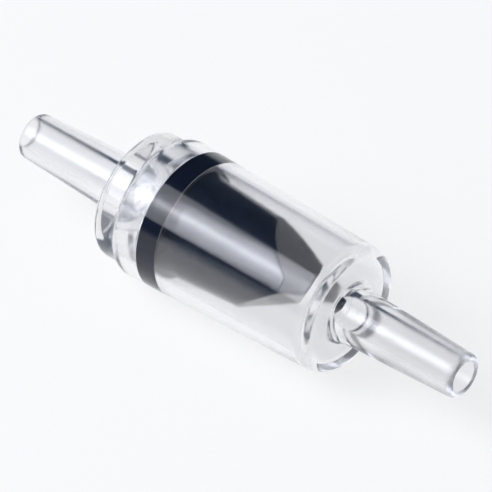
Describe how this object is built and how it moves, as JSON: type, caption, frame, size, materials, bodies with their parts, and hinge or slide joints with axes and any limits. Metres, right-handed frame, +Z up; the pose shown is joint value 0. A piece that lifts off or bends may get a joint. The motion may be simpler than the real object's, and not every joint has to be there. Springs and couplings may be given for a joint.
{
  "type": "air check valve",
  "caption": "Clear in-line check valve for air line, with hose nipples at its ends and a black rubber duckbill inside a clear barrel.",
  "frame": {"origin": "on the valve's axis, midway between the mouths of its nipples", "axes": "+X along the axis, the way the air flows from the inlet nipple to the outlet nipple; +Z up, with the valve lying on its side and its slit rolled 38 degrees from level"},
  "size_m": [0.0492, 0.0132, 0.0132],
  "materials": {
    "clear_plastic": "clear, polished, injection moulded",
    "black_rubber": "satin, moulded"
  },
  "bodies": {
    "housing": {"inlet_cap": "clear_plastic", "outlet_barrel": "clear_plastic", "duckbill_body": "black_rubber"},
    "upper_lip": {"upper_lip": "black_rubber"},
    "lower_lip": {"lower_lip": "black_rubber"}
  },
  "joints": [
    {"name": "upper_lip_flex", "type": "hinge", "parent": "housing", "child": "upper_lip", "pos_m": [0.00179, 0.00265, 0.00339], "axis": [0, -0.788, 0.6157], "range_deg": [0, 8], "stiffness_Nm_per_rad": 0.00005, "springref_deg": -5.73},
    {"name": "lower_lip_flex", "type": "hinge", "parent": "housing", "child": "lower_lip", "pos_m": [0.00179, -0.00265, -0.00339], "axis": [0, 0.788, -0.6157], "range_deg": [0, 8], "stiffness_Nm_per_rad": 0.00005, "springref_deg": -5.73}
  ],
  "couplings": [
    {"joint": "lower_lip_flex", "follows": "upper_lip_flex", "ratio": 1}
  ]
}
